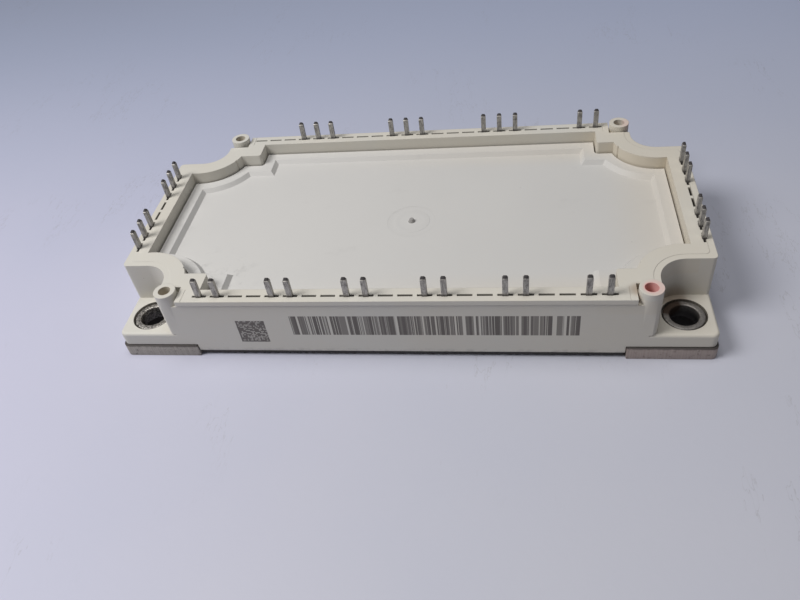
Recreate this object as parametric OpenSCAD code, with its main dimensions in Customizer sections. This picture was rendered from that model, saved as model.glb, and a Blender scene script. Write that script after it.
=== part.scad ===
// Power transistor module: flat copper-based package with solder pins on all four sides.
// Millimetres, Z up, origin at the centre of the baseplate's underside.

/* [Baseplate] */
// Length of the baseplate
plate_l = 122; // [119:0.5:150]
// Width of the baseplate
plate_w = 62; // [60:0.5:80]
// Thickness of the baseplate
plate_t = 3; // [2:0.1:5]
// Radius of the baseplate's vertical corners
plate_corner_r = 1.3; // [0.5:0.1:3]
// Depth by which the plate's edge stands back between its four corner pads
plate_recess = 1.7; // [1:0.1:2.5]
// Length of a corner pad along the long side
corner_l = 17; // [13:0.5:22]
// Length of a corner pad along the short side
corner_w = 12.5; // [11.5:0.5:16]
// Distance of each mounting hole from the plate's edges
hole_inset = 6; // [5.5:0.1:8]
// Diameter of the mounting holes in the plate
hole_d = 5.5; // [4.5:0.1:6]

/* [Housing] */
// Distance of the housing's walls inside the plate's edge
house_inset = 0.3; // [0.1:0.05:0.8]
// Gap under the housing that the adhesive fills
glue_t = 0.2; // [0.1:0.05:0.5]
// Height of the ears above the plate's underside
ear_z = 6.3; // [5.5:0.1:8]
// Radius of the ears' vertical corners
ear_corner_r = 1.4; // [1:0.1:3]
// Radius of the ears' upper edges
ear_edge_r = 0.6; // [0.2:0.1:1]
// Height of the rim above the plate's underside
rim_z = 15.8; // [14.5:0.1:20]
// Radius of the vertical corners at the ends of the upper wall
end_corner_r = 0.9; // [0.3:0.1:2]
// Height of the skirt's lower edge between the corner pads
skirt_z = 1.5; // [0.8:0.1:2.2]
// Gap between the skirt and the plate's recessed edge
skirt_gap = 0.2; // [0.1:0.05:0.5]
// Thickness of the two long walls
long_wall = 3.5; // [3.2:0.1:4]
// Thickness of the two end walls
end_wall = 4.3; // [3.6:0.1:6]

/* [Screw notches] */
// Radius of the screw-head notch around each mounting hole
notch_r = 5.5; // [5:0.1:6]
// Thickness of the curved wall round a notch
notch_wall = 4.4; // [3.5:0.1:5.5]
// Radius of the outer corner between a notch and the long wall
notch_corner_r = 2.6; // [1:0.1:3]
// Width of the lowered strip along the rim's outer edge
rim_step_w = 1.3; // [0.8:0.1:2]
// Depth of the lowered strip
rim_step_h = 0.12; // [0.08:0.02:0.3]

/* [Slotted strips] */
// Height of the proud lip along the top of the long walls
lip_h = 1.1; // [0.6:0.1:2]
// Depth by which the lip stands proud of the wall
lip_out = 0.2; // [0.1:0.05:0.3]
// Distance of the fine seam across a long strip from the strip's end
seam_inset = 1.2; // [0.8:0.1:2]
// Width of the seam
seam_w = 0.15; // [0.1:0.01:0.2]
// Depth of the seam
seam_h = 0.12; // [0.05:0.01:0.2]

/* [Board posts] */
// Height of the board posts' seats above the plate's underside
post_z = 17; // [16:0.1:22]
// Outer diameter of a board post
post_d = 4.5; // [3.8:0.1:4.5]
// Diameter of the screw hole in a board post
post_hole_d = 2.5; // [1.6:0.1:3]
// Depth of the screw hole
post_hole_depth = 8; // [5:0.5:10]
// Distance of a post from its mounting hole towards the middle
post_dx = 7.75; // [7.5:0.05:8.5]
// Distance of a post from its mounting hole towards the long edge
post_dy = 3.75; // [3.4:0.05:4]
// Depth of the pocket in which a post stands, below the rim
post_pocket = 1.5; // [0.8:0.1:3]
// Gap between a post and the end of the slotted strip
post_gap = 0.15; // [0.1:0.05:0.6]
// Length of the corner blocks beside the posts at the left end
block_l = 4.6; // [3:0.1:6]
// Length of the corner blocks at the right end
block_right_l = 3.4; // [2.4:0.1:5]
// Depth of the corner block, from the inner face of the long wall
block_w = 5; // [3:0.1:6]
// Radius of the blocks' upright corners
block_r = 0.6; // [0.3:0.1:1]

/* [Lid] */
// Height of the lid's brim above the plate's underside
brim_z = 13; // [12:0.1:14.5]
// Thickness of the lid
lid_t = 1.6; // [1.2:0.1:2]
// Gap between the lid and the housing
lid_gap = 0.35; // [0.1:0.05:0.6]
// Width of the ledge on which the lid rests
lid_seat = 1.3; // [0.8:0.1:1.8]
// Width of the lid's flat brim
brim_w = 2.45; // [1.5:0.05:4]
// Drop from the brim to the lid's middle
tray_drop = 1; // [0.5:0.1:1.4]
// Width of the slope between the brim and the middle
tray_slope = 0.8; // [0.3:0.1:1.5]
// Diameter of the ring round the moulding gate
gate_ring_d = 11; // [8:0.5:16]
// Diameter of the disc inside the ring
gate_disc_d = 8; // [4:0.5:12]
// Depth of the ring
gate_ring_h = 0.06; // [0.03:0.01:0.2]
// Diameter of the gate stub at its foot
gate_d = 1.5; // [0.8:0.1:2.5]
// Diameter of the stub where it broke off
gate_tip_d = 0.9; // [0.4:0.1:1.5]
// Height of the gate stub
gate_h = 0.7; // [0.3:0.1:0.9]
// Distance of the gate stub in front of the middle
gate_y = 1.2; // [0:0.1:3]

/* [Pins] */
// Pitch of the pin grid
pitch = 3.81; // [3.6:0.01:3.9]
// Width of a pin along its row
pin_w = 1.1; // [0.8:0.05:1.3]
// Thickness of a pin across its row
pin_t = 0.8; // [0.5:0.05:0.9]
// Height of the pin tips above the plate's underside
pin_z = 20.5; // [19:0.1:26]
// Length of the tapered tip
tip_l = 1.3; // [0.5:0.1:2.5]
// Width of the tip's end, as a share of the pin
tip_share = 0.55; // [0.3:0.05:0.9]
// Distance of the long rows inside the housing's long walls
long_row_inset = 1.5; // [1.35:0.05:1.8]
// Distance of the end rows inside the housing's end walls
end_row_inset = 1.6; // [1.4:0.05:2]
// Width of the slots across their row
slot_w = 0.55; // [0.4:0.05:0.75]
// Thickness of the wall between two slots
slot_wall = 0.85; // [0.6:0.05:1.5]
// Depth of the slots
slot_depth = 2.8; // [1.5:0.1:4]
// Height of the shelf in which the pins' feet lie
shelf_z = 7.2; // [6.6:0.1:7.3]
// Distance of the feet's inner ends from the edge of the shelf
foot_setback = 0.4; // [0.2:0.1:0.8]

/* [Bushings] */
// Outer diameter of a bushing
bush_d = 7.9; // [7.4:0.1:8.4]
// Bore of a bushing
bush_bore = 5.5; // [5.2:0.1:6]
// Depth of a bushing's face below the ear
bush_sink = 0.2; // [0.1:0.05:0.5]
// Gap round the upper part of a bushing
bush_gap = 0.35; // [0.2:0.05:0.5]
// Depth of that gap
bush_gap_h = 1.4; // [0.5:0.1:2]
// Chamfer on the upper edges of a bushing
bush_chamfer = 0.15; // [0.1:0.05:0.3]

/* [Substrates] */
// Width of a substrate along the module
substrate_w = 29; // [28:0.1:29.5]
// Gap between two substrates
substrate_gap = 1.48; // [1:0.02:2]
// Length of a substrate across the module
substrate_l = 38; // [37:0.5:39]
// Thickness of the ceramic
ceramic_t = 0.4; // [0.25:0.05:1]
// Thickness of the copper on either side
copper_t = 0.3; // [0.2:0.05:0.5]
// Thickness of the solder under a substrate
solder_t = 0.15; // [0.1:0.05:0.3]
// Bare margin of the ceramic round the copper
copper_margin = 0.8; // [0.5:0.05:1.2]
// Gap between two copper tracks
track_gap = 1; // [0.6:0.1:1.2]
// Width of the gate track
track_w = 1; // [0.8:0.1:1.2]
// Width of the front pads, the minus bus and the phase bus
bus_w = 3; // [2.6:0.1:3.2]
// Width of the copper legs along the sides of a substrate
leg_w = 2; // [1.6:0.1:2.4]
// Gap between the substrates and the wall of the well
well_gap = 1.5; // [0.8:0.1:2]

/* [Chips] */
// Side of a transistor chip
igbt_w = 9; // [7:0.1:9.3]
// Width of a diode chip along the module
diode_w = 7.5; // [5:0.1:8]
// Length of a diode chip across the module
diode_l = 6.5; // [5:0.1:9]
// Thickness of a chip with its solder
chip_t = 0.2; // [0.15:0.05:0.4]
// Bare copper between a chip and the edge of its field
chip_edge = 0.6; // [0.4:0.1:0.8]
// Gap between the low switch and its diode
chip_gap = 1.8; // [1.4:0.1:2]
// Length of the thermistor
thermistor_l = 3.2; // [2:0.1:4]
// Width of the thermistor
thermistor_w = 1.6; // [0.8:0.1:1.8]
// Height of the thermistor
thermistor_h = 0.9; // [0.4:0.1:1.2]

/* [Bond wires] */
// Diameter of a bond wire
wire_d = 0.3; // [0.2:0.05:0.4]
// Distance between neighbouring bond wires
wire_pitch = 1.9; // [1.2:0.1:2]
// Distance between the two wires on one pin
wire_twin = 0.6; // [0.5:0.05:0.7]
// Distance of a wire's foot from the edge of its track or chip
wire_edge = 0.7; // [0.4:0.1:1]

/* [Gel and adhesive] */
// Height of the gel's surface above the plate's underside
gel_z = 10; // [9.7:0.1:10.3]
// Distance of the adhesive bead inside the plate's outline
glue_inset = 2.4; // [2:0.1:2.8]
// Distance of the adhesive bead from the bushings
glue_bush_gap = 1; // [0.6:0.1:1.4]

/* [Hidden] */
$fn = 64;
eps = 0.01;
far = 200;
phases = ["u", "v", "w"];
gate_pairs = 6;
front_slots = 4 * gate_pairs - 2;
back_slots = 23;
end_slots = 8;
thermistor_slots = [21, 22];
// Slots of the gate pins among the eight slots over a substrate
gate_slots = [0, 1, 4, 5];

// Half lengths, half widths and heights of the mechanical parts
plate_hl = plate_l / 2;
plate_hw = plate_w / 2;
house_hl = plate_hl - house_inset;
house_hw = plate_hw - house_inset;
hole_x = plate_hl - hole_inset;
hole_y = plate_hw - hole_inset;
post_x = hole_x - post_dx;
post_y = hole_y + post_dy;
room_hl = house_hl - end_wall;
room_hw = house_hw - long_wall;
room_notch_r = notch_r + notch_wall;
strip_hl = post_x - post_d / 2 - post_gap;
block_x = hole_x - room_notch_r - block_l;
block_right_x = hole_x - room_notch_r - block_right_l;
block_y = room_hw - block_w;
frame_z = plate_t + glue_t;
seat_z = brim_z - lid_t;
tray_z = brim_z - tray_drop;
pocket_z = rim_z - post_pocket;
long_row_y = house_hw - long_row_inset;
end_row_x = house_hl - end_row_inset;

// Levels and half sizes of the electrical parts
ceramic_z = plate_t + solder_t + copper_t;
track_z = ceramic_z + ceramic_t;
pad_z = track_z + copper_t;
chip_z = pad_z + chip_t;
substrate_pitch = substrate_w + substrate_gap;
well_hl = substrate_pitch + substrate_w / 2 + well_gap;
well_hw = substrate_l / 2 + well_gap;
foot_x = well_hl + foot_setback;
foot_y = well_hw + foot_setback;
copper_hw = substrate_w / 2 - copper_margin;
copper_hl = substrate_l / 2 - copper_margin;

// Edges of the copper tracks: front pads, minus bus, low field, high field and phase bus
pads_y1 = bus_w - copper_hl;
minus_y0 = pads_y1 + track_gap;
minus_y1 = minus_y0 + bus_w;
low_y0 = minus_y1 + track_gap;
phase_y0 = copper_hl - bus_w;
high_y1 = phase_y0 - track_gap;
field_l = (high_y1 - low_y0 - track_gap) / 2;
low_y1 = low_y0 + field_l;
high_y0 = low_y1 + track_gap;
leg_x1 = leg_w - copper_hw;
gate_track_x0 = leg_x1 + track_gap;
gate_track_x1 = gate_track_x0 + track_w;
low_x0 = gate_track_x1 + track_gap;
link_x0 = copper_hw - leg_w;
high_x1 = link_x0 - track_gap;
pad_w = pitch - track_gap;

// Middles of the chips on a substrate
diode_low = [low_x0 + chip_edge + diode_w / 2, low_y0 + chip_edge + diode_l / 2];
igbt_low = [diode_low.x + diode_w / 2 + chip_gap + igbt_w / 2, low_y0 + chip_edge + igbt_w / 2];
igbt_high = [gate_track_x0 - chip_edge + igbt_w / 2, high_y0 + chip_edge + igbt_w / 2];
diode_high = [high_x1 - 2 * chip_edge - diode_w / 2, high_y0 + chip_edge + diode_l];

// Slot positions along the rows
function front_x(k) = (k - (front_slots - 1) / 2) * pitch;
function back_x(k) = (k - (back_slots - 1) / 2) * pitch;
function end_y(k) = ((end_slots - 1) / 2 - k) * pitch;

// Where a place x along the module lies on substrate p, which is mirrored when it is the last
function on_substrate(p, x) = (p == 2 ? -1 : 1) * (x - (p - 1) * substrate_pitch);

// Shapes -----------------------------------------------------------------

module slab(z0, z1) {
    translate([0, 0, z0]) linear_extrude(z1 - z0) children();
}

// Puts its children at the right back corner and mirrors them to the others
module four_corners() {
    for (sx = [0, 1], sy = [0, 1]) mirror([sx, 0, 0]) mirror([0, sy, 0]) {
        $block_x = sx == 0 ? block_right_x : block_x;
        children();
    }
}

module plate_square(hl, hw) {
    square([2 * hl, 2 * hw], center = true);
}

// What a convex corner at [x, y] loses when it is rounded
module corner_off(x, y, r) {
    translate([x - r, y - r]) difference() {
        square(r + 1);
        circle(r);
    }
}

module rounded_rect(hl, hw, r) {
    difference() {
        plate_square(hl, hw);
        four_corners() corner_off(hl, hw, r);
    }
}

// Rectangle with a notch of radius r round each mounting hole, open to the corner
module notched_rect(hl, hw, r) {
    difference() {
        plate_square(hl, hw);
        four_corners() {
            translate([hole_x, hole_y]) circle(r);
            translate([hole_x - r, hole_y]) square(far);
            translate([hole_x, hole_y - r]) square(far);
        }
    }
}

// Outline of the upper wall, drawn in by i
module wall_outline(i) {
    difference() {
        notched_rect(house_hl - i, house_hw - i, notch_r + i);
        four_corners() {
            corner_off(hole_x - notch_r - i, house_hw - i, notch_corner_r);
            corner_off(house_hl - i, hole_y - notch_r - i, end_corner_r);
        }
    }
}

// Outline of the room inside the walls, drawn in by i and by j at the corner blocks
module room_outline(i, j) {
    difference() {
        plate_square(room_hl - i, room_hw - i);
        four_corners() {
            translate([hole_x, hole_y]) circle(room_notch_r + i);
            translate([$block_x - j, block_y - j]) difference() {
                square(far);
                rotate(180) corner_off(0, 0, block_r + j);
            }
        }
    }
}

// Block whose four sides lean outwards by [x, y] from its bottom to its top
module leaning_block(hl, hw, z0, h, lean) {
    translate([0, 0, z0]) intersection() {
        rotate([90, 0, 0]) linear_extrude(2 * far, center = true)
            polygon([[-hl, 0], [hl, 0], [hl + lean.x, h], [-hl - lean.x, h]]);
        rotate([90, 0, 90]) linear_extrude(2 * far, center = true)
            polygon([[-hw, 0], [hw, 0], [hw + lean.y, h], [-hw - lean.y, h]]);
    }
}

// Section that rounds an upper edge whose corner is at the origin
module edge_section(r) {
    translate([-r, -r]) difference() {
        square(r + 1);
        circle(r);
    }
}

module straight_edge(length, r) {
    rotate([90, 0, 90]) linear_extrude(length, center = true) edge_section(r);
}

// Housing ----------------------------------------------------------------

module ear_edges() {
    run = hole_inset + notch_r;
    four_corners() translate([house_hl - ear_corner_r, house_hw - ear_corner_r, ear_z]) {
        translate([-run / 2, ear_corner_r, 0]) straight_edge(run, ear_edge_r);
        translate([ear_corner_r, -run / 2, 0]) rotate([0, 0, -90]) straight_edge(run, ear_edge_r);
        rotate_extrude(angle = 90) translate([ear_corner_r, 0]) edge_section(ear_edge_r);
    }
}

module slots() {
    long = pitch - slot_wall;
    translate([0, 0, rim_z - slot_depth]) {
        for (k = [0 : front_slots - 1]) translate([front_x(k), -long_row_y, slot_depth])
            cube([long, slot_w, 2 * slot_depth], center = true);
        for (k = [0 : back_slots - 1]) translate([back_x(k), long_row_y, slot_depth])
            cube([long, slot_w, 2 * slot_depth], center = true);
        for (k = [0 : end_slots - 1], s = [-1, 1]) translate([s * end_row_x, end_y(k), slot_depth])
            cube([slot_w, long, 2 * slot_depth], center = true);
    }
}

module skirt() {
    slab(skirt_z, frame_z + eps) difference() {
        union() {
            plate_square(plate_hl - corner_l - skirt_gap, house_hw);
            plate_square(house_hl, plate_hw - corner_w - skirt_gap);
        }
        plate_square(plate_hl - plate_recess + skirt_gap, plate_hw - plate_recess + skirt_gap);
    }
}

// The rim is lower outside this outline
module raised_rim() {
    wall_outline(rim_step_w);
    plate_square(strip_hl, plate_hw);
}

module post_outline() {
    four_corners() translate([post_x, post_y]) circle(d = post_d);
}

module housing_frame() {
    color("ivory") difference() {
        union() {
            difference() {
                slab(frame_z, ear_z) rounded_rect(house_hl, house_hw, ear_corner_r);
                ear_edges();
            }
            difference() {
                union() {
                    slab(frame_z, rim_z) wall_outline(0);
                    slab(rim_z - lip_h, rim_z) plate_square(strip_hl, house_hw + lip_out);
                }
                slab(rim_z - rim_step_h, rim_z + 1) difference() {
                    plate_square(far, far);
                    raised_rim();
                }
                slab(pocket_z, rim_z + 1)
                    four_corners() translate([strip_hl, post_y - post_d / 2 - post_gap]) square(far);
            }
            slab(pocket_z - eps, post_z) post_outline();
            slab(ear_z - eps, pocket_z) intersection() {
                post_outline();
                plate_square(house_hl, house_hw);
            }
            skirt();
        }
        slab(seat_z, rim_z + 1) room_outline(0, 0);
        slab(shelf_z, rim_z) room_outline(lid_seat, 0);
        slab(0, rim_z) plate_square(well_hl, well_hw);
        slots();
        slab(rim_z - seam_h, rim_z + 1)
            four_corners() translate([strip_hl - seam_inset - seam_w, room_hw]) square([seam_w, far]);
        all_pins();
        four_corners() translate([hole_x, hole_y, 0]) {
            cylinder(d = bush_d, h = ear_z);
            translate([0, 0, ear_z - bush_gap_h]) cylinder(d = bush_d + 2 * bush_gap, h = bush_gap_h + 1);
        }
        four_corners() translate([post_x, post_y, post_z - post_hole_depth])
            cylinder(d = post_hole_d, h = post_hole_depth + 1);
    }
}

module lid() {
    ledge = lid_gap + brim_w;
    floor_edge = ledge + tray_slope;
    over = 1.2;
    lean = over * tray_slope;
    color("floralwhite") difference() {
        union() {
            slab(seat_z, brim_z) room_outline(lid_gap, lid_gap);
            slab(tray_z - lid_t, seat_z + eps) room_outline(lid_seat + lid_gap, lid_gap);
        }
        difference() {
            leaning_block(room_hl - floor_edge, room_hw - floor_edge, tray_z, over * tray_drop, [lean, lean]);
            four_corners() {
                translate([hole_x, hole_y, tray_z - eps]) cylinder(
                    r1 = room_notch_r + floor_edge, r2 = room_notch_r + floor_edge - lean,
                    h = over * tray_drop + 2 * eps);
                translate([$block_x + far / 2, block_y + far / 2, 0]) leaning_block(
                    far / 2 + floor_edge, far / 2 + floor_edge, tray_z - eps,
                    over * tray_drop + 2 * eps, [-lean, -lean]);
            }
        }
        translate([0, -gate_y, 0]) slab(tray_z - gate_ring_h, brim_z) difference() {
            circle(d = gate_ring_d);
            circle(d = gate_disc_d);
        }
    }
    color("floralwhite") translate([0, -gate_y, tray_z - eps])
        cylinder(d1 = gate_d, d2 = gate_tip_d, h = gate_h + eps);
}

module baseplate() {
    color("silver") difference() {
        slab(0, plate_t) rounded_rect(plate_hl, plate_hw, plate_corner_r);
        slab(-1, plate_t + 1) {
            difference() {
                plate_square(plate_hl - corner_l, far);
                plate_square(far, plate_hw - plate_recess);
            }
            difference() {
                plate_square(far, plate_hw - corner_w);
                plate_square(plate_hl - plate_recess, far);
            }
            four_corners() translate([hole_x, hole_y]) circle(d = hole_d);
        }
    }
}

module adhesive_seal() {
    color("dimgray") slab(plate_t, frame_z) difference() {
        notched_rect(plate_hl - glue_inset, plate_hw - glue_inset, bush_d / 2 + glue_bush_gap);
        plate_square(well_hl, well_hw);
    }
}

module bushing(sx, sy) {
    top = ear_z - bush_sink - plate_t;
    c = bush_chamfer;
    color("gray") translate([sx * hole_x, sy * hole_y, plate_t]) rotate_extrude() polygon([
        [bush_bore / 2, 0], [bush_d / 2, 0], [bush_d / 2, top - c], [bush_d / 2 - c, top],
        [bush_bore / 2 + c, top], [bush_bore / 2, top - c]]);
}

// Pins: the foot of a pin runs inwards, along +Y, in the top of the housing's shelf

module pin(foot_l) {
    foot_z = shelf_z - pin_t;
    neck_z = pin_z - tip_l;
    cut = (tip_share - 1) / 2;
    translate([-pin_w / 2, -pin_t / 2, foot_z]) {
        cube([pin_w, pin_t, neck_z - foot_z]);
        cube([pin_w, foot_l + pin_t / 2, pin_t]);
    }
    leaning_block(pin_w / 2, pin_t / 2, neck_z - eps, tip_l + eps, [cut * pin_w, cut * pin_t]);
}

module front_pin(k) {
    translate([front_x(k), -long_row_y, 0]) pin(long_row_y - foot_y);
}

module back_pin(k) {
    translate([back_x(k), long_row_y, 0]) mirror([0, 1, 0]) pin(long_row_y - foot_y);
}

module end_pin(k, side) {
    translate([side * end_row_x, end_y(k), 0]) rotate([0, 0, side * 90]) pin(end_row_x - foot_x);
}

module gate_pins(g) {
    color("lightgray") for (k = [4 * g, 4 * g + 1]) front_pin(k);
}

module phase_pins(p) {
    color("lightgray") for (k = [0 : 2]) back_pin(3 + 6 * p + k);
}

module thermistor_pins() {
    color("lightgray") for (k = thermistor_slots) back_pin(k);
}

module plus_pins(side) {
    color("lightgray") for (k = [0 : 2]) end_pin(k, side);
}

module minus_pins(side) {
    color("lightgray") for (k = [1 : 3]) end_pin(end_slots - k, side);
}

module all_pins() {
    for (g = [0 : gate_pairs - 1]) gate_pins(g);
    for (p = [0 : 2]) phase_pins(p);
    thermistor_pins();
    for (side = [-1, 1]) {
        plus_pins(side);
        minus_pins(side);
    }
}

// Substrates: each is built round its own middle, and the last one is the mirror of the others

module at_phase(p) {
    translate([(p - 1) * substrate_pitch, 0, 0]) mirror([p == 2 ? 1 : 0, 0, 0]) children();
}

module track(x0, y0, x1, y1) {
    translate([x0, y0]) square([x1 - x0, y1 - y0]);
}

module solder_layer(p) {
    color("slategray") at_phase(p) slab(plate_t, plate_t + solder_t) plate_square(copper_hw, copper_hl);
}

module bottom_copper(p) {
    color("peru") at_phase(p) slab(plate_t + solder_t, ceramic_z) plate_square(copper_hw, copper_hl);
}

module ceramic(p) {
    color("white") at_phase(p) slab(ceramic_z, track_z) plate_square(substrate_w / 2, substrate_l / 2);
}

module top_copper(p) {
    last = p == 2;
    thermistor_x = on_substrate(2, back_x(thermistor_slots[0]));
    color("peru") at_phase(p) slab(track_z, pad_z) {
        for (k = gate_slots) translate([on_substrate(p, front_x(8 * p + k)) - pad_w / 2, -copper_hl])
            square([pad_w, bus_w]);
        track(-copper_hw, minus_y0, copper_hw, minus_y1);
        track(-copper_hw, minus_y1 - eps, leg_x1, low_y1);
        track(gate_track_x0, low_y0, gate_track_x1, low_y1);
        track(low_x0, low_y0, copper_hw, low_y1);
        track(-copper_hw, high_y0, high_x1, high_y1);
        track(link_x0, low_y1 - eps, copper_hw, copper_hl);
        track(last ? thermistor_x + pad_w / 2 + 2 * track_gap : -copper_hw, phase_y0, copper_hw, copper_hl);
        if (last) for (k = thermistor_slots)
            translate([on_substrate(p, back_x(k)) - pad_w / 2, phase_y0]) square([pad_w, bus_w]);
    }
}

module chip(p, place, width, length) {
    at_phase(p) translate(place) slab(pad_z, chip_z) square([width, length], center = true);
}

module igbt(p, place) {
    color("darkslategray") chip(p, place, igbt_w, igbt_w);
}

module diode(p, place) {
    color("gray") chip(p, place, diode_w, diode_l);
}

module thermistor() {
    x = (back_x(thermistor_slots[0]) + back_x(thermistor_slots[1])) / 2;
    color("black") translate([x, phase_y0 + thermistor_w / 2, 0])
        slab(pad_z, pad_z + thermistor_h) square([thermistor_l, thermistor_w], center = true);
}

// Bond wires: a half ring stands on the higher end, and a leg reaches down to the lower one

module wire(a, b) {
    base = max(a.z, b.z);
    span = norm([b.x - a.x, b.y - a.y]);
    translate([(a.x + b.x) / 2, (a.y + b.y) / 2, base]) rotate([90, 0, atan2(b.y - a.y, b.x - a.x)])
        rotate_extrude(angle = 180, $fn = 32) translate([span / 2, 0]) circle(d = wire_d, $fn = 16);
    for (end = [a, b]) if (end.z < base)
        translate(end) cylinder(d = wire_d, h = base - end.z, $fn = 16);
}

// A wire whose far end lies 3 across for each 4 along; reach is how far along, and how high
module slanted_wire(a, reach) {
    wire(a, [a.x + 0.75 * abs(reach.x), a.y + reach.x, reach.y]);
}

// Wires side by side along X, from [x, y0, z0] to [x, y1, z1]
module wire_row(count, x, y0, z0, y1, z1) {
    for (i = [0 : count - 1]) {
        xi = x + (i - (count - 1) / 2) * wire_pitch;
        wire([xi, y0, z0], [xi, y1, z1]);
    }
}

module chip_wires(p) {
    minus_y = (minus_y0 + minus_y1) / 2;
    pad_y = pads_y1 - wire_edge;
    gate_x = (gate_track_x0 + gate_track_x1) / 2;
    gate_low_x = on_substrate(0, front_x(gate_slots[2]));
    sense_low_x = on_substrate(0, front_x(gate_slots[3]));
    sense_high_x = on_substrate(0, front_x(gate_slots[1])) + pad_w / 2 - wire_edge;
    color("gainsboro") at_phase(p) {
        wire_row(4, low_x0 + wire_edge + 1.5 * wire_pitch, igbt_high.y - igbt_w / 4, chip_z,
                 low_y1 - wire_edge, pad_z);
        wire_row(3, diode_high.x, diode_high.y - diode_l / 4, chip_z, low_y1 - wire_edge, pad_z);
        wire_row(4, igbt_low.x, igbt_low.y - igbt_w / 4, chip_z, minus_y, pad_z);
        wire_row(3, diode_low.x, diode_low.y - diode_l / 4, chip_z, minus_y, pad_z);
        wire([gate_low_x, igbt_low.y - igbt_w / 2 + wire_edge, chip_z],
             [gate_low_x, pad_y, pad_z]);
        wire([sense_low_x, minus_y, pad_z], [sense_low_x, pad_y, pad_z]);
        wire([gate_x, low_y1 - wire_edge, pad_z],
             [gate_x, igbt_high.y - igbt_w / 2 + wire_edge, chip_z]);
        wire([gate_x, low_y0 + wire_edge, pad_z], [gate_x, pad_y, pad_z]);
        slanted_wire([sense_high_x, pad_y, pad_z], [low_y0 + 2 * wire_edge - pad_y, pad_z]);
    }
}

module pin_wires(p) {
    half = wire_twin / 2;
    start_x = foot_x + wire_edge;
    start_y = foot_y + wire_edge;
    land_x = substrate_pitch + copper_hw - wire_edge;
    land_y = copper_hl - wire_edge;
    color("gainsboro") {
        for (k = gate_slots)
            wire([front_x(8 * p + k), -start_y, shelf_z], [front_x(8 * p + k), -land_y, pad_z]);
        for (k = [0 : 2], s = [-half, half]) {
            start = [back_x(3 + 6 * p + k) + s, start_y, shelf_z];
            if (p == 2) slanted_wire(start, [land_y - start_y, pad_z]);
            else wire(start, [start.x, land_y, pad_z]);
        }
        if (p == 2) for (k = thermistor_slots)
            wire([back_x(k), start_y, shelf_z], [back_x(k), land_y, pad_z]);
        if (p != 1) for (k = [0, 1, 2, 5, 6, 7], y = [end_y(k) - half, end_y(k) + half])
            wire([(p - 1) * start_x, y, shelf_z], [(p - 1) * land_x, y, pad_z]);
        if (p == 1) for (side = [-1, 1], i = [-1 : 1]) {
            middle = side * substrate_pitch / 2;
            near = substrate_pitch / 2 - copper_hw + wire_edge;
            away = substrate_pitch / 2 - high_x1 + wire_edge;
            plus_y = (high_y0 + high_y1) / 2 + i * wire_pitch;
            minus_y = (minus_y0 + minus_y1) / 2 + i * wire_twin;
            wire([middle - away, plus_y, pad_z],
                 [middle + (side < 0 ? near : away), plus_y, pad_z]);
            wire([middle - near, minus_y, pad_z], [middle + near, minus_y, pad_z]);
        }
    }
}

module silicone_gel() {
    color("lightcyan") difference() {
        union() {
            slab(plate_t, gel_z) plate_square(well_hl, well_hw);
            slab(shelf_z, gel_z) room_outline(lid_seat, 0);
        }
        for (p = [0 : 2]) {
            solder_layer(p);
            bottom_copper(p);
            ceramic(p);
            top_copper(p);
            igbt(p, igbt_high);
            igbt(p, igbt_low);
            diode(p, diode_high);
            diode(p, diode_low);
            chip_wires(p);
            pin_wires(p);
        }
        thermistor();
    }
}

housing_frame();
lid();
baseplate();
adhesive_seal();
silicone_gel();
bushing(-1, -1);  // bushing_front_left
bushing(1, -1);  // bushing_front_right
bushing(-1, 1);  // bushing_back_left
bushing(1, 1);  // bushing_back_right
thermistor();
thermistor_pins();
plus_pins(-1);  // plus_pins_left
minus_pins(-1);  // minus_pins_left
plus_pins(1);  // plus_pins_right
minus_pins(1);  // minus_pins_right
for (g = [1 : gate_pairs])
    gate_pins(g - 1);
for (p = [0 : 2]) {
    phase_pins(p);
    ceramic(p);
    top_copper(p);
    bottom_copper(p);
    solder_layer(p);
    igbt(p, igbt_high);
    igbt(p, igbt_low);
    diode(p, diode_high);
    diode(p, diode_low);
    chip_wires(p);
    pin_wires(p);
}
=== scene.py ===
"""Dresses the solids of a power transistor module with its materials, fine pieces, light and camera."""

import math

import bpy
from bpy.props import FloatProperty, FloatVectorProperty, PointerProperty
from mathutils import Matrix, Vector


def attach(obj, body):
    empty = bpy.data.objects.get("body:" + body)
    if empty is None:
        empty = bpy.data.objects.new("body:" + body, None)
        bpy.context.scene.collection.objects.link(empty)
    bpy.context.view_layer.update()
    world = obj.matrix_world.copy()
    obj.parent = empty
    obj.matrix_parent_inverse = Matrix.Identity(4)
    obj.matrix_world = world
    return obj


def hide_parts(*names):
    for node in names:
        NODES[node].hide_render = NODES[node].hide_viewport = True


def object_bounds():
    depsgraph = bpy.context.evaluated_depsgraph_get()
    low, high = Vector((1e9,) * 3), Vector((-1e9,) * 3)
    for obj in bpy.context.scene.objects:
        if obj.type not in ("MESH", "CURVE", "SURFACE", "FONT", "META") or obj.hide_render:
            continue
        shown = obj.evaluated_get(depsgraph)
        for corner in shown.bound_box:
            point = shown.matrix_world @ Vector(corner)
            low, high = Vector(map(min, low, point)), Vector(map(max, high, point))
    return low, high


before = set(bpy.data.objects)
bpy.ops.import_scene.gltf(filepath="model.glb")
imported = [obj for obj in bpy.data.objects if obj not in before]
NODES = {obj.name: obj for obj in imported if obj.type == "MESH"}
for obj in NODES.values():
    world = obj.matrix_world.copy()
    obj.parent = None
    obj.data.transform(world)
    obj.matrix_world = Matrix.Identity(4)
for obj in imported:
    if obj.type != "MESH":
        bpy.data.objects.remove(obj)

bl_info = {
    "name": "Power module dressing",
    "version": (1, 0, 0),
    "blender": (4, 5, 0),
    "location": "View3D > Sidebar > Module",
    "description": "Materials, fine pieces, light and camera for a power transistor module",
    "category": "Object",
}

MM = 0.001
SOLID_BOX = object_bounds()

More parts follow.
